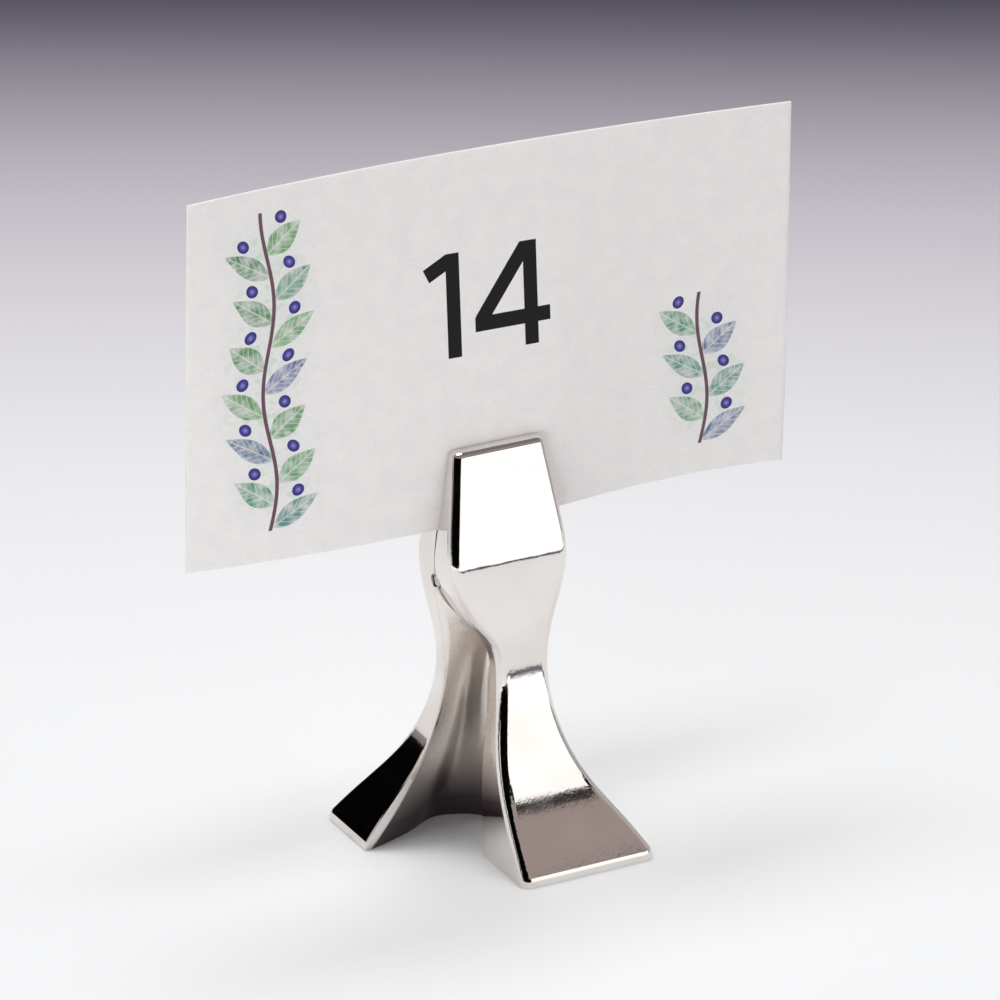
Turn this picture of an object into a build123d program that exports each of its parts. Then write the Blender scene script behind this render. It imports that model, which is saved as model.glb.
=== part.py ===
from build123d import *

import math
import os

# Place card holder: a spring clip of two like polished castings on a hinge pin, standing on
# two flared feet, with a printed card upright in its jaws.
# Millimetres. X runs along the hinge pin and the card, Y runs through the card from front to
# back, Z is up. The origin is on the table, under the middle of the pin.
# "Depth" is the distance in front of the plane of the card. The back half is the front half
# turned half round about Z.

# ---- Outline of one half, seen from the front ----
clip_height = 58.3
jaw_top_half_width = 6.85
jaw_root_half_width = 8.5
jaw_root_rise = 2.5
belly_half_width = 8.75
belly_drop = 2.5
neck_left = -1.35
neck_left_height = 24.0
throat_left = -1.75
throat_left_height = 29.5
shoulder_left = -4.6
shoulder_left_height = 33.4
neck_right = 6.4
neck_right_height = 26.5
shin_left = -2.9
shin_left_height = 14.0
shin_right = 9.5
shin_right_height = 12.0
foot_left = -3.4
foot_right = 16.7

# ---- Outline of one half, seen from the side ----
jaw_top_depth = 1.9
panel_end_depth = 5.15
panel_end_height = 44.0
belly_depth = 5.3
neck_depth = 4.45
neck_depth_height = 31.5
shin_depth = 9.3
shin_depth_height = 12.0
foot_depth = 15.8
foot_flare_angle = 31.0
lip_height = 0.6
lip_rounding = 1.6

# ---- Faces where the halves meet, and the rounding of the casting ----
card_thickness = 0.30
card_clearance = 0.05
squeeze_angle = 12.0
side_rounding = 1.4
top_rounding = 1.1
inner_rounding = 0.2

# ---- Hollow down the inner face of each leg ----
hollow_rim = 0.6
hollow_foot_depth = 4.9
hollow_shin_depth = 2.6
hollow_neck_depth = 1.0
hollow_top_depth = 0.1
hollow_top_height = 31.0
# Its section: shares of its width, from the straight side of the leg, and of its depth.
hollow_section = ((0.05, 0.5), (0.2, 0.87), (0.35, 1.0), (0.58, 0.58), (0.8, 0.24))

# ---- Hinge ----
pin_height = 39.8
pin_radius = 0.8
pin_running_clearance = 0.05
pin_end_setback = 0.4
pin_end_chamfer = 0.15
knuckle_radius = 1.9
knuckle_length = 2.0
knuckle_side_clearance = 0.1
knuckle_round_clearance = 0.15
countersink_margin = 0.25
countersink_depth = 0.4

# ---- Torsion spring ----
wire_radius = 0.25
coil_radius = 1.45
coil_pitch = 1.0
coil_turns = 4
tail_length = 7.0
pocket_round_clearance = 0.8
pocket_end_clearance = 0.5
tail_slot_clearance = 0.35

# ---- Card ----
card_width = 88.9
card_height = 50.8
card_bottom = 47.05
card_centre = 0.25
card_turn = 0.86
card_flat_side_margin = 0.25
card_flat_top_margin = 0.75
card_lean = 4.2
bottom_left_bow = 1.65
bottom_right_bow = 0.75
bottom_right_swell = 3.2
top_left_bow = -2.8
top_right_bow = -2.2

# ---- Worked out from the sizes above ----
# The root of the jaw and the belly keep their places above and below the end of the panel.
jaw_root_height = panel_end_height + jaw_root_rise
belly_height = panel_end_height - belly_drop

jaw_face_depth = card_thickness / 2 + card_clearance
leg_face_slope = math.tan(math.radians(squeeze_angle / 2))
foot_face_depth = jaw_face_depth + pin_height * leg_face_slope

tail_place = coil_pitch * (coil_turns + 0.5) / 2
pocket_radius = coil_radius + wire_radius + pocket_round_clearance
pocket_half_length = tail_place + wire_radius + pocket_end_clearance
inner_knuckle_start = pocket_half_length + knuckle_side_clearance
outer_knuckle_start = inner_knuckle_start + knuckle_length + knuckle_side_clearance
recess_radius = knuckle_radius + knuckle_round_clearance
bore_radius = pin_radius + pin_running_clearance
countersink_radius = pin_radius + countersink_margin
pin_half_length = belly_half_width - pin_end_setback
casting_width = foot_right + belly_half_width + foot_depth

# The card is flat where the jaws hold it, and a little beyond.
card_flat_half_width = belly_half_width + card_flat_side_margin
card_flat_height = clip_height - card_bottom + card_flat_top_margin

# A plane beyond the right side of the foot: its x is the depth and its y is the height.
depth_plane = Plane(origin=(casting_width / 2, 0, 0), x_dir=(0, -1, 0), z_dir=(-1, 0, 0))


def flare_end(foot_edge):
    """Where the flare of a foot meets the arc of its lip, and the flare's direction there."""
    angle = math.radians(foot_flare_angle)
    start = (
        foot_edge - lip_rounding * (1 - math.cos(angle)),
        lip_height + lip_rounding * math.sin(angle),
    )
    return start, (math.sin(angle), -math.cos(angle))


def face_depth(height):
    """Depth of the inner face of a half at a height."""
    return jaw_face_depth + max(0.0, pin_height - height) * leg_face_slope


def draw_side_outline():
    """Depth against height: jaw panel, belly, neck, and the flare out to the lip of the foot."""
    start, direction = flare_end(foot_depth)
    panel = (panel_end_depth - jaw_top_depth, panel_end_height - clip_height)
    Polyline(
        (foot_depth, 0),
        (foot_face_depth, 0),
        (jaw_face_depth, pin_height),
        (jaw_face_depth, clip_height),
        (jaw_top_depth, clip_height),
        (panel_end_depth, panel_end_height),
    )
    Spline(
        (panel_end_depth, panel_end_height),
        (belly_depth, belly_height),
        (neck_depth, neck_depth_height),
        (shin_depth, shin_depth_height),
        start,
        tangents=[panel, direction],
    )
    lip = JernArc(start, direction, lip_rounding, -foot_flare_angle)
    Line(lip @ 1, (foot_depth, 0))


def draw_front_outline():
    """Width against height: tapered jaw, belly, neck, and the leg that flares to the right."""
    start, direction = flare_end(foot_right)
    taper = (jaw_root_half_width - jaw_top_half_width, jaw_root_height - clip_height)
    Polyline(
        (-jaw_root_half_width, jaw_root_height),
        (-jaw_top_half_width, clip_height),
        (jaw_top_half_width, clip_height),
        (jaw_root_half_width, jaw_root_height),
    )
    Spline(
        (jaw_root_half_width, jaw_root_height),
        (belly_half_width, belly_height),
        (neck_right, neck_right_height),
        (shin_right, shin_right_height),
        start,
        tangents=[taper, direction],
    )
    lip = JernArc(start, direction, lip_rounding, -foot_flare_angle)
    Polyline(lip @ 1, (foot_right, 0), (foot_left, 0))
    Spline(
        (foot_left, 0),
        (shin_left, shin_left_height),
        (neck_left, neck_left_height),
        (throat_left, throat_left_height),
        (shoulder_left, shoulder_left_height),
        (-belly_half_width, belly_height),
        (-jaw_root_half_width, jaw_root_height),
        tangents=[(0, 1), (taper[0], -taper[1])],
    )


def is_outer(edge):
    """True for the edges between the front, the sides and the top of a half."""
    middle = edge.center()
    return -middle.Y > face_depth(middle.Z) + inner_rounding and middle.Z > lip_height


def is_outer_top(edge):
    """True for the outer edges at the top of a half."""
    return is_outer(edge) and edge.center().Z > clip_height - lip_height


def is_outer_side(edge):
    """True for the outer edges that run down the sides of a half."""
    return is_outer(edge) and not is_outer_top(edge)


def is_inner(edge):
    """True for the rim of a half's inner face, without its crease at the pin."""
    middle = edge.center()
    on_face = abs(-middle.Y - face_depth(middle.Z)) < inner_rounding / 10
    crease = abs(edge.start_point().Z - pin_height) + abs(edge.end_point().Z - pin_height)
    return on_face and crease > inner_rounding and middle.Z > inner_rounding


def cut_hollow():
    """Cut the smooth hollow down the inner face of a leg, open at the foot."""
    levels = (
        (-hollow_rim, foot_left, foot_right, hollow_foot_depth),
        (shin_right_height, shin_left, shin_right, hollow_shin_depth),
        (neck_left_height, neck_left, neck_right, hollow_neck_depth),
        (hollow_top_height, throat_left, neck_right, hollow_top_depth),
    )
    sections = []
    for height, left, right, depth in levels:
        face = -face_depth(height)
        start = left + hollow_rim
        width = right - left - 2 * hollow_rim
        bed = [(start + width * along, face - depth * down) for along, down in hollow_section]
        with BuildSketch(Plane.XY.offset(height)) as section:
            with BuildLine():
                Spline((start, face), *bed, (start + width, face))
                Polyline(
                    (start + width, face), (start + width, face + 1), (start, face + 1), (start, face)
                )
            make_face()
        sections.append(section.sketch)
    loft(sections, mode=Mode.SUBTRACT)


def round_about_pin(radius, start, end, mode):
    """Add or cut a cylinder on the pin's axis, from one place along X to another."""
    with BuildSketch(Plane.YZ.offset(start)) as disc:
        with Locations((0, pin_height)):
            Circle(radius)
    extrude(disc.sketch, amount=end - start, mode=mode)


def make_half(bore):
    """The front half: a casting with two knuckles of its own and recesses for the other two."""
    inner_end = inner_knuckle_start + knuckle_length
    outer_end = outer_knuckle_start + knuckle_length
    side = knuckle_side_clearance
    with BuildPart() as half:
        with BuildSketch(depth_plane):
            with BuildLine():
                draw_side_outline()
            make_face()
        extrude(amount=casting_width)
        with BuildSketch(Plane.XZ):
            with BuildLine():
                draw_front_outline()
            make_face()
        extrude(amount=foot_depth + lip_rounding, mode=Mode.INTERSECT)
        fillet(half.edges().filter_by(is_outer_side), side_rounding)
        fillet(half.edges().filter_by(is_outer_top), top_rounding)
        fillet(half.edges().filter_by(is_inner), inner_rounding)
        cut_hollow()
        # Pocket of the spring, and the slot in which its tail bears on the leg.
        round_about_pin(pocket_radius, -pocket_half_length, pocket_half_length, Mode.SUBTRACT)
        slot_depth = coil_radius + wire_radius + tail_slot_clearance
        slot_width = 2 * (wire_radius + tail_slot_clearance)
        slot_length = tail_length + tail_slot_clearance
        with Locations((tail_place, 0, pin_height)):
            Box(
                slot_width,
                2 * slot_depth,
                slot_length,
                align=(Align.CENTER, Align.CENTER, Align.MAX),
                mode=Mode.SUBTRACT,
            )
        # Recesses for the other half's knuckles, then this half's own knuckles.
        round_about_pin(
            recess_radius, inner_knuckle_start - side, inner_end + side, Mode.SUBTRACT
        )
        round_about_pin(
            recess_radius, -outer_end - side, -outer_knuckle_start + side, Mode.SUBTRACT
        )
        round_about_pin(knuckle_radius, -inner_end, -inner_knuckle_start, Mode.ADD)
        round_about_pin(knuckle_radius, outer_knuckle_start, outer_end, Mode.ADD)
        # Bore, and the sunk ring round each end of the pin.
        round_about_pin(bore, -casting_width, casting_width, Mode.SUBTRACT)
        ring_start = pin_half_length - countersink_depth
        round_about_pin(countersink_radius, ring_start, casting_width, Mode.SUBTRACT)
        round_about_pin(countersink_radius, -casting_width, -ring_start, Mode.SUBTRACT)
    return half.part


def helix_point(angle):
    """Point of the coil's centre line, and the wire's direction there.

    The angle starts at the front of the pin, and the wire goes over it to the back.
    """
    place = tail_place - coil_pitch * angle / (2 * math.pi)
    point = Vector(
        place, -coil_radius * math.cos(angle), pin_height + coil_radius * math.sin(angle)
    )
    along = Vector(
        -coil_pitch / (2 * math.pi), coil_radius * math.sin(angle), coil_radius * math.cos(angle)
    )
    return point, along.normalized()


def biarc(start, start_direction, end, end_direction):
    """Two arcs that join two points smoothly in given directions."""
    span = end - start
    both = start_direction + end_direction
    a = 2 * (1 - start_direction.dot(end_direction))
    b = 2 * span.dot(both)
    reach = (math.sqrt(b * b + 4 * a * span.dot(span)) - b) / (2 * a)
    joint = (start + end + (start_direction - end_direction) * reach) / 2
    turned = end - end_direction * reach - start - start_direction * reach
    TangentArc(start, joint, tangent=start_direction)
    TangentArc(joint, end, tangent=turned.normalized())


def draw_spring_path():
    """Up one tail, round the pin in quarter turns, and down the other tail."""
    up = Vector(0, 0, 1)
    quarters = 4 * coil_turns + 2
    knots = [helix_point(quarter * math.pi / 2) for quarter in range(quarters + 1)]
    knots[0] = (knots[0][0], up)
    knots[-1] = (knots[-1][0], -up)
    Line(knots[0][0] - up * tail_length, knots[0][0])
    for (start, start_direction), (end, end_direction) in zip(knots, knots[1:]):
        biarc(start, start_direction, end, end_direction)
    Line(knots[-1][0], knots[-1][0] - up * tail_length)


def least_gap(path):
    """Least gap between the turns of a wire, measured on points along its centre line."""
    count = 600
    apart = int(count * math.pi * coil_radius / path.length)
    points = [path.position_at(step / count) for step in range(count + 1)]
    nearest = min(
        (points[one] - points[other]).length
        for one in range(count + 1)
        for other in range(one + apart, count + 1)
    )
    return nearest - 2 * wire_radius


def draw_card_section(lean, left_bow, right_bow, right_swell=0.0):
    """Plan of the card at one height: flat in the middle, with a bowed wing on each side."""
    edge = card_width / 2
    bend = (card_flat_half_width + edge) / 2
    for face in (-card_thickness / 2, card_thickness / 2):
        y = lean + face
        Bezier((-edge, y + left_bow), (-bend, y), (-card_flat_half_width, y))
        Line((-card_flat_half_width, y), (card_flat_half_width, y))
        Bezier((card_flat_half_width, y), (bend, y + right_swell), (edge, y + right_bow))
    for x, bow in ((-edge, left_bow), (edge, right_bow)):
        middle = lean + bow
        Line((x, middle - card_thickness / 2), (x, middle + card_thickness / 2))


front_half = make_half(bore_radius)

with BuildPart() as back_half:
    add(make_half(pin_radius).rotate(Axis.Z, 180))

with BuildPart() as hinge_pin:
    with BuildSketch(Plane.YZ.offset(-pin_half_length)):
        with Locations((0, pin_height)):
            Circle(pin_radius)
    extrude(amount=2 * pin_half_length)
    chamfer(hinge_pin.edges().filter_by(GeomType.CIRCLE), pin_end_chamfer)

with BuildPart() as torsion_spring:
    with BuildLine() as spring_path:
        draw_spring_path()
    with BuildSketch(Plane(origin=spring_path.line @ 0, z_dir=(0, 0, 1))):
        Circle(wire_radius)
    sweep()

card_up = (math.sin(math.radians(card_turn)), 0, math.cos(math.radians(card_turn)))
card_plane = Plane(
    origin=(card_centre, 0, card_bottom), x_dir=(card_up[2], 0, -card_up[0]), z_dir=card_up
)

with BuildPart() as place_card:
    with BuildSketch(card_plane):
        with BuildLine():
            draw_card_section(0, bottom_left_bow, bottom_right_bow, bottom_right_swell)
        make_face()
    extrude(amount=card_flat_height)
    with BuildSketch(card_plane.offset(card_flat_height)):
        with BuildLine():
            draw_card_section(0, bottom_left_bow, bottom_right_bow, bottom_right_swell)
        make_face()
    with BuildSketch(card_plane.offset(card_height)):
        with BuildLine():
            draw_card_section(card_lean, top_left_bow, top_right_bow)
        make_face()
    loft(ruled=True)

pieces = {
    "front_half": front_half,
    "back_half": back_half.part,
    "hinge_pin": hinge_pin.part,
    "torsion_spring": torsion_spring.part,
    "place_card": place_card.part,
}

os.makedirs("parts", exist_ok=True)
for name, piece in pieces.items():
    piece.label = name
    export_step(piece, f"parts/{name}.step")
    box = piece.bounding_box()
    print(name, round(piece.volume, 2), [round(v, 2) for v in (*box.min, *box.max)])

print(f"least gap of the spring to itself: {least_gap(spring_path.wire()):.2f} mm")
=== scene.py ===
"""A polished spring clip on two flared feet, holding a printed place card upright.

The clip's castings and pin are the CAD solids with a finish. The card and the torsion spring
are worked out here in mesh form. Sizes are in millimetres and are turned to metres on the way
into a mesh. X runs along the hinge pin, Y from the front jaw to the back jaw, Z is up.
"""

import math

import bpy
import numpy as np
from mathutils import Matrix, Vector


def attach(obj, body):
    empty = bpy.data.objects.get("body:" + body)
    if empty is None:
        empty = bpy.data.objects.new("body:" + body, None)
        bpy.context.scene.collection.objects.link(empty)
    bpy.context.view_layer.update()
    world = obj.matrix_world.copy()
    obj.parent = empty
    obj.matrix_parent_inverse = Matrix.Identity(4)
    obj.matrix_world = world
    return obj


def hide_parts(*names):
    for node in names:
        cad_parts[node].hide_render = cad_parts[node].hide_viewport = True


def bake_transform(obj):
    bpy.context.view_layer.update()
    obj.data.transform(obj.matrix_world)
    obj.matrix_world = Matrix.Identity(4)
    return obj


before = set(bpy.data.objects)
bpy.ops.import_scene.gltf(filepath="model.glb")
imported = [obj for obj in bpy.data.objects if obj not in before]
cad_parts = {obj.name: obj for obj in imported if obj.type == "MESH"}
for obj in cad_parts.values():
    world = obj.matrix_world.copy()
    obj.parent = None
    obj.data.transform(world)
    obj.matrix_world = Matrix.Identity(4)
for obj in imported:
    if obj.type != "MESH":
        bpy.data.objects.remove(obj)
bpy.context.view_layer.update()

MM = 0.001

# ---- Card, mm: a few hundredths smaller than its solid, so that it stays in the solid's box ----
CARD_WIDTH = 88.86
CARD_HEIGHT = 50.79
CARD_THICKNESS = 0.30
CARD_BOTTOM = 47.05
CARD_CENTRE = 0.25
CARD_TURN = math.radians(0.86)
CARD_FLAT_HALF_WIDTH = 9.0
CARD_FLAT_HEIGHT = 11.6
CARD_COLUMNS = 144
CARD_ROWS = 84
CARD_EDGE_ROUNDING = 0.06
CARD_BEND_EASE = 0.08

# How far the card bows away from the plane of the jaws, mm. Its bottom edge has a linear and a
# square share on each side. Its top edge leans back, and has a square share on each side.
BOTTOM_LEFT_BOW = (-0.55, 2.21)
BOTTOM_RIGHT_BOW = (6.38, -5.65)
TOP_LEAN = 4.23
TOP_LEFT_BOW = -2.9
TOP_RIGHT_BOW = -2.12

# ---- Print on the card, mm from its lower left corner ----
VINES = (((11.6, 4.3), 43.4), ((76.4, 4.3), 21.7))
VINE_PITCH = 6.2
VINE_SWAY = 0.9
VINE_STEM_HALF_WIDTH = 0.26
VINE_REACH = 7.6
CELL_SLACK = 0.1
LEAF_LENGTH = 6.9
LEAF_HALF_WIDTH = 1.55
LEAF_ANGLE = math.radians(34)
LEAF_FOOT = (0.2, 0.5)
BERRY_PLACE = (3.0, 5.2)
BERRY_RADIUS = 0.85
POOL_SIZE = 1.6
WASH_CORE = 2.0
WASH_FADE = 5.0
NUMBER_PLACE = (44.0, 23.5)
NUMBER_HEIGHT = 14.0
NUMBER_STROKE = 2.0
NUMBER_STROKES = (
    ((-5.4, 0.0), (-5.4, 14.0)),
    ((-9.3, 11.45), (-5.4, 13.35)),
    ((6.0, 0.0), (6.0, 14.0)),
    ((-1.4, 4.4), (6.4, 14.8)),
    ((-2.3, 3.9), (8.8, 3.9)),
)

# A leaf: the power that fills it out, its veins in shares of its length and of its half width,
# and how strongly they show.
LEAF_FULLNESS = 0.8
VEIN_SLANT = 0.25
VEIN_PITCH = 0.14
VEIN_WIDTH = 0.022
RIB_HALF_WIDTH = 0.07
VEIN_STRENGTH = 0.55

# ---- Torsion spring, mm ----
PIN_HEIGHT = 39.8
WIRE_RADIUS = 0.25
COIL_RADIUS = 1.45
COIL_PITCH = 1.0
COIL_TURNS = 4.5
TAIL_LENGTH = 7.0
TAIL_PLACE = COIL_PITCH * COIL_TURNS / 2
WIRE_SIDES = 16
STEPS_PER_TURN = 48
TAIL_STEPS = 24

# ---- Borders of a leg's inner face against height, mm ----
# A line has its slope and its place at the table, and the flared side's parabola has its spread
# at the table and its place at the neck.
NECK_HEIGHT = 26.5
STRAIGHT_BORDER = (0.09, -3.0)
FLARED_BORDER = (10.3, 5.8)
DEPTH_BORDER = (-0.26, 9.9)
BORDER_FADE = 0.5

# ---- Finishes: sizes of their patterns, depths of their bumps and heights of a painted shade, mm ----
# Hairlines, skin, lathe rings, flecks and fibre ends are coarser than real ones, so that they show.
WAVE_SIZE = 7.0
WAVE_DEPTH = 0.012
RIPPLE_SIZE = 1.5
RIPPLE_DEPTH = 0.003
GRAIN_SIZE = 0.5
GRAIN_DEPTH = 0.004
SKIN_SIZE = 0.3
HAIRLINE_WIDTH = 0.25
HAIRLINE_SCALE = (1.0, 1.0, 0.08)
# A painted shade on the legs' inner faces is darkest below the lower height and gone above the higher
# one.
INNER_SHADE_DARKEST_HEIGHT = 3.0
INNER_SHADE_END_HEIGHT = 13.0
LATHE_RINGS_SPAN = 3.0
LATHE_RING_DEPTH = 0.004
DIE_LINE_LENGTH = 0.5
DIE_LINES_ROUND = 40.0
DIE_LINE_DEPTH = 0.003
CLOUD_SIZE = 3.0
FLECK_SIZE = 0.35
FLECK_DEPTH = 0.015
CUT_FIBRE_SIZE = 0.2
CUT_FIBRE_DEPTH = 0.02

# ---- Studio: floor colours, with painted shade, against distance behind the object, and sky colours against the sine of the height ----
FLOOR_RADIUS = 4000.0
FLOOR_RINGS = 40
FLOOR_SPOKES = 96
# The floor's colours darken behind the object: a painted shade of light that falls off with distance.
FLOOR_SHADE_START = 40.0
FLOOR_SHADE_END = 340.0
FLOOR_SHADED_COLOURS = (
    (0.0, "#EFF1F2"), (0.16, "#ECEDEF"), (0.3, "#E5E5E9"), (0.47, "#D7D6DB"), (0.55, "#CFCCD2"),
    (0.64, "#C4BFC8"), (0.74, "#B0ABB4"), (0.84, "#928D98"), (0.94, "#666270"), (1.0, "#4A4654"),
)
SKY_COLOURS = (
    (0.0, "#0B0A0D"), (0.457, "#0B0A0D"), (0.472, "#A89A98"), (0.6, "#A69D9B"), (0.72, "#7A797B"),
)

# ---- Camera: the photograph's own, in degrees and mm ----
CAMERA_AZIMUTH = 28.703
CAMERA_ELEVATION = 23.882
CAMERA_ROLL = 0.504
CAMERA_DISTANCE = 843.685
CAMERA_TARGET = (1.044, 0.0, 49.535)
CAMERA_LENS = 230.85
CAMERA_SENSOR = 36.0


def linear(hex_colour):
    """An sRGB hex colour as the linear RGBA that a shader socket takes."""
    channels = [int(hex_colour[i:i + 2], 16) / 255 for i in (1, 3, 5)]
    return [c / 12.92 if c <= 0.04045 else ((c + 0.055) / 1.055) ** 2.4 for c in channels] + [1]


def add_node(tree, kind, *values, named=None, stops=(), **settings):
    """Add a node with its settings, and set or link its inputs, in order or by name.

    A value that is a node stands for its first output. Stops are the places and hex colours of
    a colour ramp.
    """
    node = tree.nodes.new("ShaderNode" + kind)
    for name, value in settings.items():
        setattr(node, name, value)
    for _ in stops[2:]:
        node.color_ramp.elements.new(0.5)
    for index, (place, colour) in enumerate(stops):
        node.color_ramp.elements[index].position = place
        node.color_ramp.elements[index].color = linear(colour)
    for key, value in (*enumerate(values), *(named or {}).items()):
        if isinstance(value, bpy.types.Node):
            value = value.outputs[0]
        if isinstance(value, bpy.types.NodeSocket):
            tree.links.new(value, node.inputs[key])
        else:
            node.inputs[key].default_value = value
    return node


def new_material(name):
    """An empty material, and its tree."""
    material = bpy.data.materials.new(name)
    material.use_nodes = True
    material.node_tree.nodes.clear()
    return material, material.node_tree


# ---------------------------------------------------------------- materials


def cast_inside(tree, place):
    """A mask, 1 on the inner faces of the legs, from the distance in mm to their borders.

    The back half is the front half turned half round, so its x and y change sign. The borders
    follow the outline of the leg: a line on its straight side, a parabola on its flared side,
    and a slope between its inner and its outer face.
    """
    split = add_node(tree, "SeparateXYZ", place)
    height = split.outputs["Z"]
    side = add_node(tree, "Math", split.outputs["Y"], operation="SIGN")
    depth = add_node(tree, "Math", split.outputs["Y"], operation="ABSOLUTE")
    flipped = add_node(tree, "Math", side, -1.0, operation="MULTIPLY")
    across = add_node(tree, "Math", split.outputs["X"], flipped, operation="MULTIPLY")
    straight = add_node(tree, "Math", height, *STRAIGHT_BORDER, operation="MULTIPLY_ADD")
    from_straight = add_node(tree, "Math", across, straight, operation="SUBTRACT")
    rise = add_node(tree, "Math", height, -1 / NECK_HEIGHT, 1.0, operation="MULTIPLY_ADD")
    square = add_node(tree, "Math", rise, 2.0, operation="POWER")
    flared = add_node(tree, "Math", square, *FLARED_BORDER, operation="MULTIPLY_ADD")
    from_flared = add_node(tree, "Math", flared, across, operation="SUBTRACT")
    middle = add_node(tree, "Math", height, *DEPTH_BORDER, operation="MULTIPLY_ADD")
    from_middle = add_node(tree, "Math", middle, depth, operation="SUBTRACT")
    beside = add_node(tree, "Math", from_straight, from_flared, operation="MINIMUM")
    nearest = add_node(tree, "Math", beside, from_middle, operation="MINIMUM")
    return add_node(tree, "MapRange", nearest, named={"From Min": 0.0, "From Max": BORDER_FADE})


def polished_chrome():
    """Nickel and chrome plate on a zinc casting: a warm mirror, satin on the inner faces.

    Buffing leaves the mirror slightly wavy, rippled and grainy, which smudges and breaks up the
    edges of reflections, with a haze of upright hairlines. The wheel doesn't reach the inner
    faces of the legs, where the plate keeps the matt skin of the casting and looks browner.
    Near the foot the inner faces are darkened towards the table, a painted shade where the legs face each
    other.
    """
    material, tree = new_material("polished_chrome_plate")
    metres = add_node(tree, "TexCoord").outputs["Object"]
    place = add_node(tree, "VectorMath", metres, (1 / MM,) * 3, operation="MULTIPLY")
    inside = cast_inside(tree, place)
    waves = add_node(tree, "TexNoise", named={"Vector": place, "Scale": 1 / WAVE_SIZE, "Detail": 1.0})
    ripples = add_node(tree, "TexNoise", named={"Vector": place, "Scale": 1 / RIPPLE_SIZE, "Detail": 2.0})
    grain = add_node(tree, "TexNoise", named={"Vector": place, "Scale": 1 / GRAIN_SIZE, "Detail": 2.0})
    skin = add_node(tree, "TexNoise", named={"Vector": place, "Scale": 1 / SKIN_SIZE, "Detail": 3.0})
    drawn = add_node(tree, "Mapping", place, named={"Scale": HAIRLINE_SCALE})
    hairs = add_node(
        tree, "TexNoise", named={"Vector": drawn, "Scale": 1 / HAIRLINE_WIDTH, "Detail": 2.0}
    )
    haze = add_node(
        tree, "MapRange", waves,
        named={"From Min": 0.3, "From Max": 0.7, "To Min": 0.03, "To Max": 0.07},
    )
    hairy = add_node(tree, "Math", hairs, 0.03, haze, operation="MULTIPLY_ADD")
    matt = add_node(tree, "MapRange", skin, named={"To Min": 0.26, "To Max": 0.38})
    rough = add_node(tree, "Mix", data_type="FLOAT", named={0: inside, 2: hairy, 3: matt})
    plate = add_node(tree, "ValToRGB", waves, stops=((0.35, "#E5DFDA"), (0.65, "#ECE7E3")))
    casting = add_node(tree, "ValToRGB", skin, stops=((0.35, "#D4CAC2"), (0.65, "#E0D6CE")))
    # Painted shade: the inner faces turn dark violet grey towards the foot, below the higher of the two
    # shade heights.
    height = add_node(tree, "SeparateXYZ", place).outputs["Z"]
    unshaded = add_node(
        tree, "MapRange", height, named={"From Min": INNER_SHADE_DARKEST_HEIGHT, "From Max": INNER_SHADE_END_HEIGHT}
    )
    shaded_casting = add_node(tree, "Mix", data_type="RGBA", named={0: unshaded, 6: linear("#655B60"), 7: casting})
    colour = add_node(tree, "Mix", data_type="RGBA", named={0: inside, 6: plate, 7: shaded_casting.outputs[2]})
    wavy = add_node(
        tree, "Bump", named={"Strength": 1.0, "Distance": WAVE_DEPTH * MM, "Height": waves}
    )
    rippled = add_node(
        tree, "Bump",
        named={"Strength": 1.0, "Distance": RIPPLE_DEPTH * MM, "Height": ripples, "Normal": wavy},
    )
    grainy = add_node(
        tree, "Bump",
        named={"Strength": 1.0, "Distance": GRAIN_DEPTH * MM, "Height": grain, "Normal": rippled},
    )
    shader = add_node(
        tree, "BsdfPrincipled",
        named={"Base Color": colour.outputs[2], "Metallic": 1.0, "Roughness": rough, "Normal": grainy},
    )
    add_node(tree, "OutputMaterial", named={"Surface": shader})
    return material


def turned_steel():
    """Bright drawn pin steel, its ends faced on a lathe: rings about the axis of the pin.

    The wave texture draws 20 / (2 pi) rings on their span.
    """
    material, tree = new_material("turned_pin_steel")
    place = add_node(tree, "TexCoord").outputs["Object"]
    centred = add_node(tree, "Mapping", place, named={"Location": (0.0, 0.0, -PIN_HEIGHT * MM)})
    rings = add_node(
        tree, "TexWave",
        named={"Vector": centred, "Scale": 1 / (LATHE_RINGS_SPAN * MM), "Distortion": 0.4},
        wave_type="RINGS", rings_direction="X",
    )
    colour = add_node(tree, "ValToRGB", rings, stops=((0.0, "#A9A6A3"), (1.0, "#D2CFCC")))
    bump = add_node(
        tree, "Bump", named={"Strength": 1.0, "Distance": LATHE_RING_DEPTH * MM, "Height": rings}
    )
    rough = add_node(tree, "MapRange", rings, named={"To Min": 0.22, "To Max": 0.34})
    shader = add_node(
        tree, "BsdfPrincipled",
        named={"Base Color": colour, "Metallic": 1.0, "Roughness": rough, "Normal": bump},
    )
    add_node(tree, "OutputMaterial", named={"Surface": shader})
    return material


def drawn_wire():
    """Hard-drawn spring wire: grey, with the die's fine lines along its length.

    Its UV map holds the length in mm and the share of the way round.
    """
    material, tree = new_material("drawn_spring_wire")
    along = add_node(tree, "UVMap")
    drawn = add_node(tree, "Mapping", along, named={"Scale": (1 / DIE_LINE_LENGTH, DIE_LINES_ROUND, 1.0)})
    lines = add_node(tree, "TexNoise", named={"Vector": drawn, "Scale": 1.0, "Detail": 3.0})
    colour = add_node(tree, "ValToRGB", lines, stops=((0.3, "#7E7C7A"), (0.7, "#B7B4B0")))
    bump = add_node(
        tree, "Bump", named={"Strength": 1.0, "Distance": DIE_LINE_DEPTH * MM, "Height": lines}
    )
    rough = add_node(tree, "MapRange", lines, named={"To Min": 0.25, "To Max": 0.42})
    shader = add_node(
        tree, "BsdfPrincipled",
        named={"Base Color": colour, "Metallic": 1.0, "Roughness": rough, "Normal": bump},
    )
    add_node(tree, "OutputMaterial", named={"Surface": shader})
    return material


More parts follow.
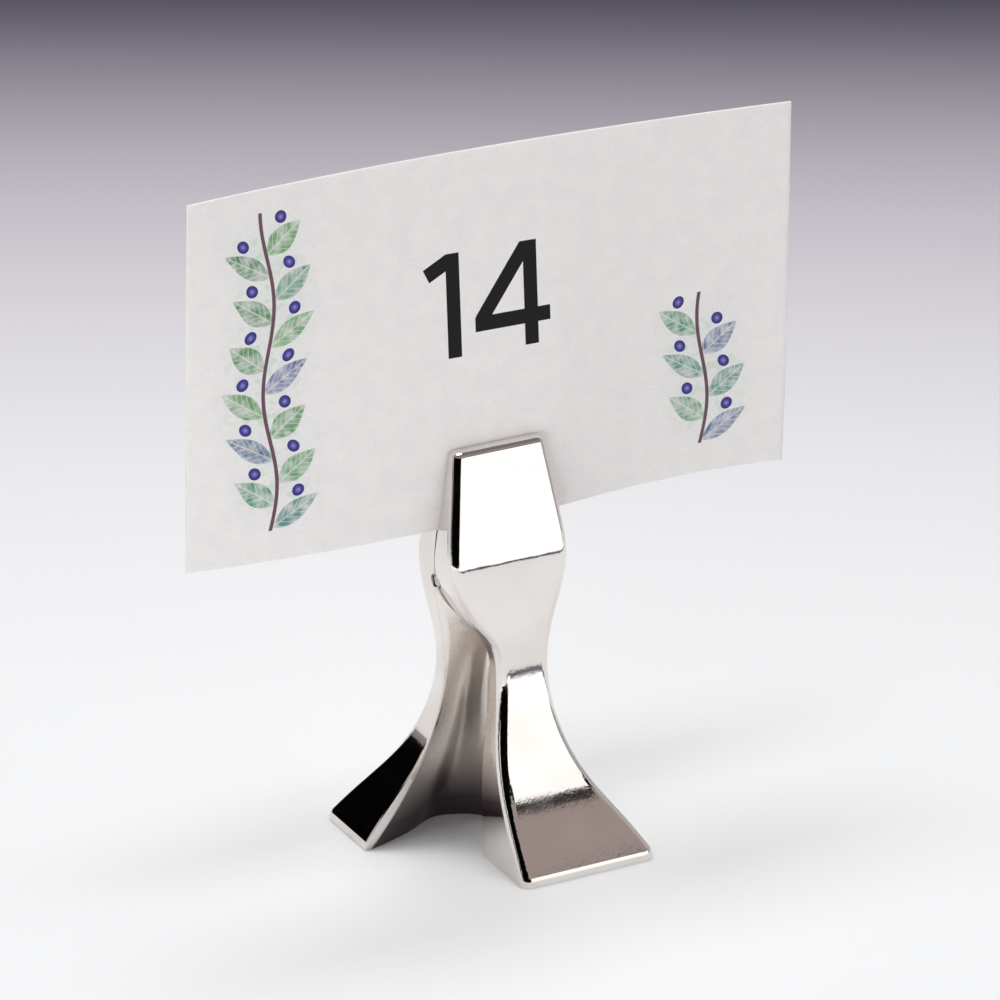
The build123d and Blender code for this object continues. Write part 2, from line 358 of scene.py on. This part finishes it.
def paper_stock(tree, place):
    """Uncoated card: its colour and its felt-side bump, from a place in mm.

    The pulp is faintly cloudy and has small flecks of fibre.
    """
    clouds = add_node(tree, "TexNoise", named={"Vector": place, "Scale": 1 / CLOUD_SIZE, "Detail": 4.0})
    flecks = add_node(tree, "TexNoise", named={"Vector": place, "Scale": 1 / FLECK_SIZE, "Detail": 2.0})
    pulp = add_node(tree, "ValToRGB", clouds, stops=((0.35, "#EEEBEB"), (0.65, "#F2EFEE")))
    fleck = add_node(
        tree, "MapRange", flecks,
        named={"From Min": 0.3, "From Max": 0.5, "To Min": 0.95, "To Max": 1.0},
    )
    paper = add_node(
        tree, "Mix", data_type="RGBA", blend_type="MULTIPLY", named={0: 1.0, 6: pulp, 7: fleck}
    )
    bump = add_node(
        tree, "Bump", named={"Strength": 0.6, "Distance": FLECK_DEPTH * MM, "Height": flecks}
    )
    return paper.outputs[2], bump


def leaf_masks(tree, spot):
    """Masks of a leaf and of its veins, from a spot in its cell in mm.

    At a share t of its length the leaf's half width is sin(pi t^p), with p its fullness. The
    veins are the midrib, and side veins that run forward from it.
    """
    leaf = add_node(
        tree, "Mapping", spot, (*LEAF_FOOT, 0.0), (0.0, 0.0, LEAF_ANGLE),
        (LEAF_LENGTH, LEAF_HALF_WIDTH, 1.0), vector_type="TEXTURE",
    )
    split = add_node(tree, "SeparateXYZ", leaf)
    along = split.outputs["X"]
    fuller = add_node(tree, "Math", along, LEAF_FULLNESS, operation="POWER")
    turned = add_node(tree, "Math", fuller, math.pi, operation="MULTIPLY")
    half_width = add_node(tree, "Math", turned, operation="SINE")
    from_rib = add_node(tree, "Math", split.outputs["Y"], operation="ABSOLUTE")
    in_leaf = add_node(tree, "Math", half_width, from_rib, operation="GREATER_THAN")
    forward = add_node(tree, "Math", from_rib, -VEIN_SLANT, along, operation="MULTIPLY_ADD")
    side_vein = add_node(tree, "Math", forward, VEIN_PITCH, operation="FLOORED_MODULO")
    near_side = add_node(tree, "Math", side_vein, VEIN_WIDTH, operation="LESS_THAN")
    near_rib = add_node(tree, "Math", from_rib, RIB_HALF_WIDTH, operation="LESS_THAN")
    on_vein = add_node(tree, "Math", near_side, near_rib, operation="MAXIMUM")
    return in_leaf, on_vein


def vine_wash(tree, pools, pooled, aside, height, length):
    """The pale wash round a vine: its mask, which fades outwards and at both ends, and its ink."""
    outwards = add_node(
        tree, "MapRange", aside,
        named={"From Min": VINE_REACH, "From Max": WASH_CORE, "To Min": 0.0, "To Max": 0.5},
    )
    washed = add_node(tree, "Math", outwards, pooled, operation="MULTIPLY")
    to_tip = add_node(tree, "Math", length, height, operation="SUBTRACT")
    to_end = add_node(tree, "Math", to_tip, height, operation="MINIMUM")
    fading = add_node(tree, "MapRange", to_end, named={"From Min": 0.0, "From Max": WASH_FADE})
    mask = add_node(tree, "Math", washed, fading, operation="MULTIPLY")
    ink = add_node(
        tree, "ValToRGB", pools, stops=((0.38, "#B9B8DA"), (0.5, "#DDE9DF"), (0.62, "#B4D2BA"))
    )
    return mask, ink


def vine_print(tree, place, paper, foot, length):
    """One printed vine: a swaying stem with a leaf and a berry by turns on each side.

    The stem is a sine line. Each side is cut into cells a pitch tall, half a pitch apart, and a
    cell holds a leaf and a round berry. Each leaf has its own green, and pigment pools in it.
    """
    local = add_node(tree, "VectorMath", place, (*foot, 0.0), operation="SUBTRACT")
    split = add_node(tree, "SeparateXYZ", local)
    height = split.outputs["Y"]
    phase = add_node(tree, "Math", height, math.pi / VINE_PITCH / 2, operation="MULTIPLY")
    wave = add_node(tree, "Math", phase, operation="SINE")
    sway = add_node(tree, "Math", wave, VINE_SWAY, operation="MULTIPLY")
    across = add_node(tree, "Math", split.outputs["X"], sway, operation="SUBTRACT")
    aside = add_node(tree, "Math", across, operation="ABSOLUTE")
    on_left = add_node(tree, "Math", across, 0.0, operation="LESS_THAN")
    shifted = add_node(tree, "Math", on_left, VINE_PITCH / 2, height, operation="MULTIPLY_ADD")
    in_cell = add_node(tree, "Math", shifted, VINE_PITCH, operation="FLOORED_MODULO")
    cell = add_node(tree, "Math", shifted, in_cell, operation="SUBTRACT")
    seed = add_node(tree, "CombineXYZ", cell, on_left, length)
    chance = add_node(tree, "TexWhiteNoise", seed)

    # The stem runs from the vine's foot to its tip, and only whole cells between them are used.
    above = add_node(tree, "Math", height, 0.0, operation="GREATER_THAN")
    below = add_node(tree, "Math", height, length, operation="LESS_THAN")
    tall = add_node(tree, "Math", above, below, operation="MULTIPLY")
    last_start = length - VINE_PITCH + CELL_SLACK
    start = add_node(tree, "Math", on_left, -VINE_PITCH / 2, cell, operation="MULTIPLY_ADD")
    not_low = add_node(tree, "Math", start, -CELL_SLACK, operation="GREATER_THAN")
    not_high = add_node(tree, "Math", start, last_start, operation="LESS_THAN")
    whole = add_node(tree, "Math", not_low, not_high, operation="MULTIPLY")
    beside = add_node(tree, "Math", aside, VINE_REACH, operation="LESS_THAN")
    band = add_node(tree, "Math", whole, beside, operation="MULTIPLY")

    spot = add_node(tree, "CombineXYZ", aside, in_cell, 0.0)
    in_leaf, on_vein = leaf_masks(tree, spot)
    to_berry = add_node(tree, "VectorMath", spot, (*BERRY_PLACE, 0.0), operation="DISTANCE")
    from_berry = to_berry.outputs["Value"]
    in_berry = add_node(tree, "Math", from_berry, BERRY_RADIUS, operation="LESS_THAN")
    on_stem = add_node(tree, "Math", aside, VINE_STEM_HALF_WIDTH, operation="LESS_THAN")
    pools = add_node(tree, "TexNoise", named={"Vector": place, "Scale": 1 / POOL_SIZE, "Detail": 3.0})
    pooled = add_node(
        tree, "MapRange", pools,
        named={"From Min": 0.35, "From Max": 0.65, "To Min": 0.35, "To Max": 0.95},
    )

    leaf_mask = add_node(tree, "Math", in_leaf, band, operation="MULTIPLY")
    inked_leaf = add_node(tree, "Math", leaf_mask, pooled, operation="MULTIPLY")
    pale_vein = add_node(tree, "Math", on_vein, VEIN_STRENGTH, operation="MULTIPLY")
    vein_mask = add_node(tree, "Math", leaf_mask, pale_vein, operation="MULTIPLY")
    stem_mask = add_node(tree, "Math", on_stem, tall, operation="MULTIPLY")
    berry_mask = add_node(tree, "Math", in_berry, band, operation="MULTIPLY")
    greens = add_node(
        tree, "ValToRGB", chance,
        stops=((0.0, "#3E7A5A"), (0.3, "#6FA36B"), (0.6, "#4F8F83"), (0.85, "#5B5F9C")),
    )
    berries = add_node(
        tree, "ValToRGB", from_berry,
        stops=((0.0, "#8F93CC"), (0.45, "#4B4397"), (0.85, "#352C73")),
    )
    layers = (
        vine_wash(tree, pools, pooled, aside, height, length),
        (inked_leaf, greens),
        (vein_mask, linear("#E4EBD9")),
        (stem_mask, linear("#6B4E5B")),
        (berry_mask, berries),
    )
    for mask, ink in layers:
        mixed = add_node(tree, "Mix", data_type="RGBA", named={0: mask, 6: paper, 7: ink})
        paper = mixed.outputs[2]
    return paper


def number_print(tree, place, paper):
    """The plain number in black ink, from straight strokes cut level at the top and the foot."""
    upward = add_node(tree, "SeparateXYZ", place).outputs["Y"]
    middle = NUMBER_PLACE[1] + NUMBER_HEIGHT / 2
    level = add_node(tree, "Math", upward, middle, NUMBER_HEIGHT / 2, operation="COMPARE")
    for start, end in NUMBER_STROKES:
        run, rise = end[0] - start[0], end[1] - start[1]
        centre = (NUMBER_PLACE[0] + start[0] + run / 2, NUMBER_PLACE[1] + start[1] + rise / 2, 0.0)
        half = (math.hypot(run, rise) / 2, NUMBER_STROKE / 2, 1.0)
        stroke = add_node(
            tree, "Mapping", place, centre, (0.0, 0.0, math.atan2(rise, run)), half,
            vector_type="TEXTURE",
        )
        positive = add_node(tree, "VectorMath", stroke, operation="ABSOLUTE")
        split = add_node(tree, "SeparateXYZ", positive)
        far = add_node(tree, "Math", split.outputs["X"], split.outputs["Y"], operation="MAXIMUM")
        mask = add_node(tree, "Math", far, 1.0, operation="LESS_THAN")
        inked = add_node(tree, "Math", mask, level, operation="MULTIPLY")
        mixed = add_node(tree, "Mix", data_type="RGBA", named={0: inked, 6: paper, 7: linear("#151315")})
        paper = mixed.outputs[2]
    return paper


def cut_edge():
    """The guillotined edge of the card, with loose fibre ends, whiter than its faces: a painted highlight
    on the thin edge.
    """
    material, tree = new_material("cut_card_edge")
    place = add_node(tree, "TexCoord").outputs["Object"]
    fibres = add_node(
        tree, "TexNoise", named={"Vector": place, "Scale": 1 / (CUT_FIBRE_SIZE * MM), "Detail": 3.0}
    )
    # Painted highlight: the edge is coloured whiter than the paper of the faces.
    colour = add_node(tree, "ValToRGB", fibres, stops=((0.3, "#EDEAE6"), (0.6, "#FBFAF8")))
    bump = add_node(
        tree, "Bump", named={"Strength": 0.5, "Distance": CUT_FIBRE_DEPTH * MM, "Height": fibres}
    )
    shader = add_node(
        tree, "BsdfPrincipled", named={"Base Color": colour, "Roughness": 0.9, "Normal": bump}
    )
    add_node(tree, "OutputMaterial", named={"Surface": shader})
    return material


def card_material(name, printed):
    """Uncoated card stock, matt, plain or with the print on it."""
    material, tree = new_material(name)
    sheet = add_node(tree, "UVMap")
    place = add_node(tree, "VectorMath", sheet, (CARD_WIDTH, CARD_HEIGHT, 1.0), operation="MULTIPLY")
    colour, bump = paper_stock(tree, place)
    if printed:
        for foot, length in VINES:
            colour = vine_print(tree, place, colour, foot, length)
        colour = number_print(tree, place, colour)
    shader = add_node(
        tree, "BsdfPrincipled",
        named={"Base Color": colour, "Roughness": 0.82, "Specular IOR Level": 0.35, "Normal": bump},
    )
    add_node(tree, "OutputMaterial", named={"Surface": shader})
    return material


# ---------------------------------------------------------------- meshes


def make_mesh(name, points, faces, uv=None):
    """A smooth mesh object from points in mm and faces, with a UV pair for each point."""
    mesh = bpy.data.meshes.new(name)
    mesh.from_pydata((points * MM).tolist(), [], faces)
    mesh.polygons.foreach_set("use_smooth", np.ones(len(faces), bool))
    if uv is not None:
        corners = np.zeros(len(mesh.loops), np.int32)
        mesh.loops.foreach_get("vertex_index", corners)
        layer = mesh.uv_layers.new(name="UVMap")
        layer.uv.foreach_set("vector", uv[corners].astype(np.float32).ravel())
    mesh.update()
    piece = bpy.data.objects.new(name, mesh)
    bpy.context.scene.collection.objects.link(piece)
    return piece


def grid_quads(rows, columns, wrap=False):
    """Quads of a grid of points, row by row. Wrap joins the last column to the first."""
    cells = columns if wrap else columns - 1
    row, column = np.meshgrid(np.arange(rows - 1), np.arange(cells), indexing="ij")
    beside = (column + 1) % columns
    corners = (
        row * columns + column, row * columns + beside,
        (row + 1) * columns + beside, (row + 1) * columns + column,
    )
    return np.stack(corners, axis=-1).reshape(-1, 4)


def eased(ramp):
    """A ramp from 0 to 1 that starts level: t^2 (1 + e) / (t + e)."""
    return ramp ** 2 * (1 + CARD_BEND_EASE) / (ramp + CARD_BEND_EASE)


def card_middle(across, up):
    """Points of the card's middle surface, from its flat width and height, mm.

    It is flat where the jaws hold it. Beyond, the bottom edge bows by a quadratic on each side
    and the top edge leans back and bows by a square law. Between the edges it is straight.
    """
    wing = CARD_WIDTH / 2 - CARD_FLAT_HALF_WIDTH
    left = eased(np.clip((-across - CARD_FLAT_HALF_WIDTH) / wing, 0, None))
    right = eased(np.clip((across - CARD_FLAT_HALF_WIDTH) / wing, 0, None))
    bottom = (BOTTOM_LEFT_BOW[0] * left + BOTTOM_LEFT_BOW[1] * left ** 2
              + BOTTOM_RIGHT_BOW[0] * right + BOTTOM_RIGHT_BOW[1] * right ** 2)
    share = (across / (CARD_WIDTH / 2)) ** 2
    top = TOP_LEAN + share * np.where(across < 0, TOP_LEFT_BOW, TOP_RIGHT_BOW)
    lift = eased(np.clip((up - CARD_FLAT_HEIGHT) / (CARD_HEIGHT - CARD_FLAT_HEIGHT), 0, None))
    depth = bottom * (1 - lift) + top * lift
    x = CARD_CENTRE + across * math.cos(CARD_TURN) + up * math.sin(CARD_TURN)
    z = CARD_BOTTOM - across * math.sin(CARD_TURN) + up * math.cos(CARD_TURN)
    return np.stack([x, depth, z], axis=-1)


def card_normals(across, up, step=0.05):
    """Normals of the card's middle surface towards the front, from small steps on it in mm."""
    along = card_middle(across + step, up) - card_middle(across - step, up)
    upward = card_middle(across, up + step) - card_middle(across, up - step)
    normal = np.cross(along, upward)
    return normal / np.linalg.norm(normal, axis=-1, keepdims=True)


def edge_places(length, count):
    """Places along a side of the card, with one row close to each end for the rounded edge."""
    inner = np.linspace(CARD_EDGE_ROUNDING, length - CARD_EDGE_ROUNDING, count)
    return np.concatenate([[0], inner, [length]])


def make_card():
    """The card: its middle surface, half a thickness out to the front and to the back.

    The outermost ring of both faces is drawn in to two thirds of the thickness, which rounds
    the cut edge, and a strip of quads joins the two rings.
    """
    across = edge_places(CARD_WIDTH, CARD_COLUMNS) - CARD_WIDTH / 2
    up = edge_places(CARD_HEIGHT, CARD_ROWS)
    columns, rows = len(across), len(up)
    grid_across, grid_up = np.meshgrid(across, up)
    middle = card_middle(grid_across, grid_up)
    normal = card_normals(grid_across, grid_up)
    rim = np.zeros((rows, columns), bool)
    rim[[0, -1], :] = True
    rim[:, [0, -1]] = True
    half = np.where(rim, CARD_THICKNESS / 3, CARD_THICKNESS / 2)[..., None]
    front_points = (middle + normal * half).reshape(-1, 3)
    back_points = (middle - normal * half).reshape(-1, 3)
    count = rows * columns
    index = np.arange(count).reshape(rows, columns)
    ring = np.concatenate([index[0, :-1], index[:-1, -1], index[-1, :0:-1], index[:0:-1, 0]])
    after = np.roll(ring, -1)
    front = grid_quads(rows, columns)
    back = front[:, ::-1] + count
    strip = np.stack([after, ring, ring + count, after + count], axis=-1)
    points = np.concatenate([front_points, back_points])
    quads = np.concatenate([front, back, strip])
    uv = np.stack([grid_across / CARD_WIDTH + 0.5, grid_up / CARD_HEIGHT], axis=-1).reshape(-1, 2)
    card = make_mesh("printed_card", points, quads.tolist(), np.concatenate([uv, uv]))
    card.data.materials.append(card_material("printed_card_stock", True))
    card.data.materials.append(card_material("plain_card_stock", False))
    card.data.materials.append(cut_edge())
    kinds = np.repeat([0, 1, 2], [len(front), len(back), len(strip)])
    card.data.polygons.foreach_set("material_index", kinds.astype(np.int32))
    return card


def spring_path():
    """Points in mm up one tail of the spring, round the pin and down the other tail.

    The coil is a helix about the pin: x falls by a pitch a turn, and the angle starts at the
    front of the pin and goes over it to the back.
    """
    angle = np.linspace(0, 2 * math.pi * COIL_TURNS, int(STEPS_PER_TURN * COIL_TURNS) + 1)
    coil = np.stack([
        TAIL_PLACE - COIL_PITCH * angle / (2 * math.pi),
        -COIL_RADIUS * np.cos(angle),
        PIN_HEIGHT + COIL_RADIUS * np.sin(angle),
    ], axis=-1)
    fall = np.linspace(TAIL_LENGTH, 0, TAIL_STEPS, endpoint=False)
    drop = fall[:, None] * np.array([[0, 0, -1.0]])
    return np.concatenate([coil[0] + drop, coil, (coil[-1] + drop)[::-1]])


def make_spring():
    """The torsion spring: a round section carried along its path.

    The section lies square to the path, on its sideways and its third direction. A fan of
    triangles closes each end.
    """
    path = spring_path()
    steps = len(path)
    along = np.gradient(path, axis=0)
    along /= np.linalg.norm(along, axis=1, keepdims=True)
    sideways = np.cross(along, np.array([1.0, 0, 0]))
    sideways /= np.linalg.norm(sideways, axis=1, keepdims=True)
    third = np.cross(along, sideways)
    around = np.linspace(0, 2 * math.pi, WIRE_SIDES, endpoint=False)
    cosine, sine = np.cos(around)[None, :, None], np.sin(around)[None, :, None]
    section = cosine * sideways[:, None] + sine * third[:, None]
    tube = (path[:, None] + WIRE_RADIUS * section).reshape(-1, 3)
    points = np.concatenate([tube, path[[0, -1]]])

    length = np.concatenate([[0], np.cumsum(np.linalg.norm(np.diff(path, axis=0), axis=1))])
    uv = np.stack(np.meshgrid(length, around / (2 * math.pi), indexing="ij"), axis=-1).reshape(-1, 2)
    uv = np.concatenate([uv, [[0, 0], [length[-1], 0]]])

    side = np.arange(WIRE_SIDES)
    beside = np.roll(side, -1)
    last_ring = (steps - 1) * WIRE_SIDES
    first_end = np.full(WIRE_SIDES, len(points) - 2)
    last_end = np.full(WIRE_SIDES, len(points) - 1)
    faces = grid_quads(steps, WIRE_SIDES, wrap=True).tolist()
    faces += np.stack([first_end, beside, side], axis=-1).tolist()
    faces += np.stack([last_end, last_ring + side, last_ring + beside], axis=-1).tolist()
    spring = make_mesh("wound_spring", points, faces, uv)
    spring.data.materials.append(drawn_wire())
    return spring


# ---------------------------------------------------------------- the clip


def finish_node(name, material):
    """Give a CAD node its material, and leave its mesh as it is."""
    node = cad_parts[name]
    if not node.material_slots:
        node.data.materials.append(material)
    for slot in node.material_slots:
        slot.material = material


chrome = polished_chrome()
finish_node("front_half", chrome)
finish_node("back_half", chrome)
finish_node("hinge_pin", turned_steel())

card = make_card()
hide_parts("place_card")
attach(card, "card")

spring = make_spring()
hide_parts("torsion_spring")
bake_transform(spring)


# ---------------------------------------------------------------- stage


def make_floor():
    """A round sheet of pale paper, with painted shade that darkens it to violet grey behind the object.

    Its rings widen outwards by a square law. Its colour depends on the distance behind the
    object, along the camera's azimuth.
    """
    out = FLOOR_RADIUS * np.linspace(0.0, 1.0, FLOOR_RINGS) ** 2
    turn = np.linspace(0, 2 * math.pi, FLOOR_SPOKES, endpoint=False)
    level = np.zeros((FLOOR_RINGS, FLOOR_SPOKES))
    points = np.stack([np.outer(out, np.cos(turn)), np.outer(out, np.sin(turn)), level], axis=-1)
    quads = grid_quads(FLOOR_RINGS, FLOOR_SPOKES, wrap=True)[:, ::-1]
    floor = make_mesh("floor", points.reshape(-1, 3), quads.tolist())
    material, tree = new_material("pale_floor_painted_shade")
    place = add_node(tree, "TexCoord").outputs["Object"]
    azimuth = math.radians(CAMERA_AZIMUTH)
    behind = (math.sin(azimuth), math.cos(azimuth), 0.0)
    distance = add_node(tree, "VectorMath", place, behind, operation="DOT_PRODUCT").outputs["Value"]
    share = add_node(
        tree, "MapRange", distance,
        named={"From Min": FLOOR_SHADE_START * MM, "From Max": FLOOR_SHADE_END * MM},
    )
    # Painted shade: the floor darkens with distance behind the object.
    colour = add_node(tree, "ValToRGB", share, stops=FLOOR_SHADED_COLOURS)
    shader = add_node(tree, "BsdfPrincipled", named={"Base Color": colour, "Roughness": 0.9})
    add_node(tree, "OutputMaterial", named={"Surface": shader})
    floor.data.materials.append(material)


def add_board(name, azimuth, near, far, width, top, colour, glow=0.0):
    """A board lying from one distance to another, or upright where they are equal.

    Azimuth 0 is in front of the object and 90 on its right. Its near edge is 1 mm up and its
    far edge at the top, in mm as the other sizes are. The glow is the radiance that it gives
    off. It shows in the metal alone: the camera doesn't see it, and it neither lights nor
    shades paper.
    """
    angle = math.radians(azimuth)
    out = np.array([math.sin(angle), -math.cos(angle), 0.0])
    side = np.array([math.cos(angle), math.sin(angle), 0.0]) * width / 2
    foot = out * near + np.array([0, 0, 1.0])
    head = out * far + np.array([0, 0, top])
    corners = np.array([foot - side, foot + side, head + side, head - side])
    board = make_mesh(name, corners, [[0, 1, 2, 3]])
    material, tree = new_material(name)
    shader = add_node(
        tree, "BsdfPrincipled",
        named={
            "Base Color": linear(colour), "Roughness": 1.0, "Specular IOR Level": 0.0,
            "Emission Color": linear("#FFFFFF"), "Emission Strength": glow,
        },
    )
    add_node(tree, "OutputMaterial", named={"Surface": shader})
    board.data.materials.append(material)
    board.visible_camera = False
    board.visible_diffuse = False
    board.visible_shadow = False


def add_softbox(name, azimuth, distance, height, size, radiance, aim, mirrored=True):
    """A rectangular lamp of an even radiance, unseen by the camera.

    It stands a distance from the Z axis with its middle at a height, and faces a height on that
    axis. Azimuth 0 is in front of the object and 90 on its right. Sizes are in mm. A lamp that
    isn't mirrored stays out of the metal's reflections, as one behind a flag does.
    """
    angle = math.radians(azimuth)
    place = Vector((math.sin(angle) * distance, -math.cos(angle) * distance, height))
    lamp = bpy.data.lights.new(name, "AREA")
    lamp.shape = "RECTANGLE"
    lamp.size, lamp.size_y = size[0] * MM, size[1] * MM
    lamp.energy = radiance * math.pi * lamp.size * lamp.size_y
    box = bpy.data.objects.new(name, lamp)
    box.location = place * MM
    box.rotation_euler = (Vector((0, 0, aim)) - place).to_track_quat("-Z", "Y").to_euler()
    box.visible_camera = False
    box.visible_glossy = mirrored
    bpy.context.scene.collection.objects.link(box)


def make_world():
    """The studio: black to 27 degrees above the horizon, then a grey ceiling, darker overhead."""
    world = bpy.data.worlds.new("studio")
    bpy.context.scene.world = world
    world.use_nodes = True
    tree = world.node_tree
    tree.nodes.clear()
    way = add_node(tree, "TexCoord").outputs["Generated"]
    rise = add_node(tree, "SeparateXYZ", way).outputs["Z"]
    colour = add_node(tree, "ValToRGB", rise, stops=SKY_COLOURS)
    light = add_node(tree, "Background", colour, 1.0)
    add_node(tree, "OutputWorld", named={"Surface": light})


def add_camera():
    """The photograph's camera, from its azimuth, elevation, roll and distance."""
    azimuth = math.radians(CAMERA_AZIMUTH)
    elevation = math.radians(CAMERA_ELEVATION)
    roll = math.radians(CAMERA_ROLL)
    level = math.cos(elevation)
    right = Vector((math.cos(azimuth), -math.sin(azimuth), 0))
    ahead = Vector((math.sin(azimuth) * level, math.cos(azimuth) * level, -math.sin(elevation)))
    up = right.cross(ahead)
    rolled_right = right * math.cos(roll) + up * math.sin(roll)
    rolled_up = up * math.cos(roll) - right * math.sin(roll)
    place = (Vector(CAMERA_TARGET) - ahead * CAMERA_DISTANCE) * MM
    data = bpy.data.cameras.new("camera")
    data.sensor_width = CAMERA_SENSOR
    data.lens = CAMERA_LENS
    camera = bpy.data.objects.new("camera", data)
    turn = Matrix((rolled_right, rolled_up, -ahead)).transposed()
    camera.matrix_world = Matrix.Translation(place) @ turn.to_4x4()
    bpy.context.scene.collection.objects.link(camera)
    bpy.context.scene.camera = camera


make_floor()
make_world()
add_camera()

# Boards for the metal to mirror: in front, on the left, behind on the left and on the right.
add_board("dark_strip", azimuth=27, near=124, far=147, width=260, top=1, colour="#4A4650")
add_board("light_table", azimuth=27, near=158, far=556, width=300, top=1, colour="#303030", glow=1.35)
add_board("left_board", azimuth=-42, near=330, far=330, width=440, top=200, colour="#060607")
add_board("back_left_board", azimuth=-145, near=400, far=400, width=300, top=300, colour="#060607")
add_board("back_left_sheet", azimuth=-145, near=185, far=399, width=160, top=1, colour="#8F8886")
add_board("right_board", azimuth=90, near=400, far=400, width=420, top=260, colour="#303030", glow=0.45)

add_softbox("key_softbox", azimuth=29, distance=560, height=134, size=(575, 268), radiance=1.3, aim=134)
add_softbox(
    "fill_softbox", azimuth=-52, distance=400, height=60, size=(260, 100), radiance=6.2, aim=75,
    mirrored=False,
)
add_softbox("top_softbox", azimuth=180, distance=80, height=930, size=(620, 620), radiance=6.1, aim=45)
add_softbox("back_softbox", azimuth=150, distance=725, height=380, size=(600, 500), radiance=0.5, aim=45)
add_softbox(
    "left_reflector", azimuth=-105, distance=600, height=155, size=(560, 190), radiance=0.8,
    aim=155,
)

bpy.context.scene.view_settings.view_transform = "Standard"
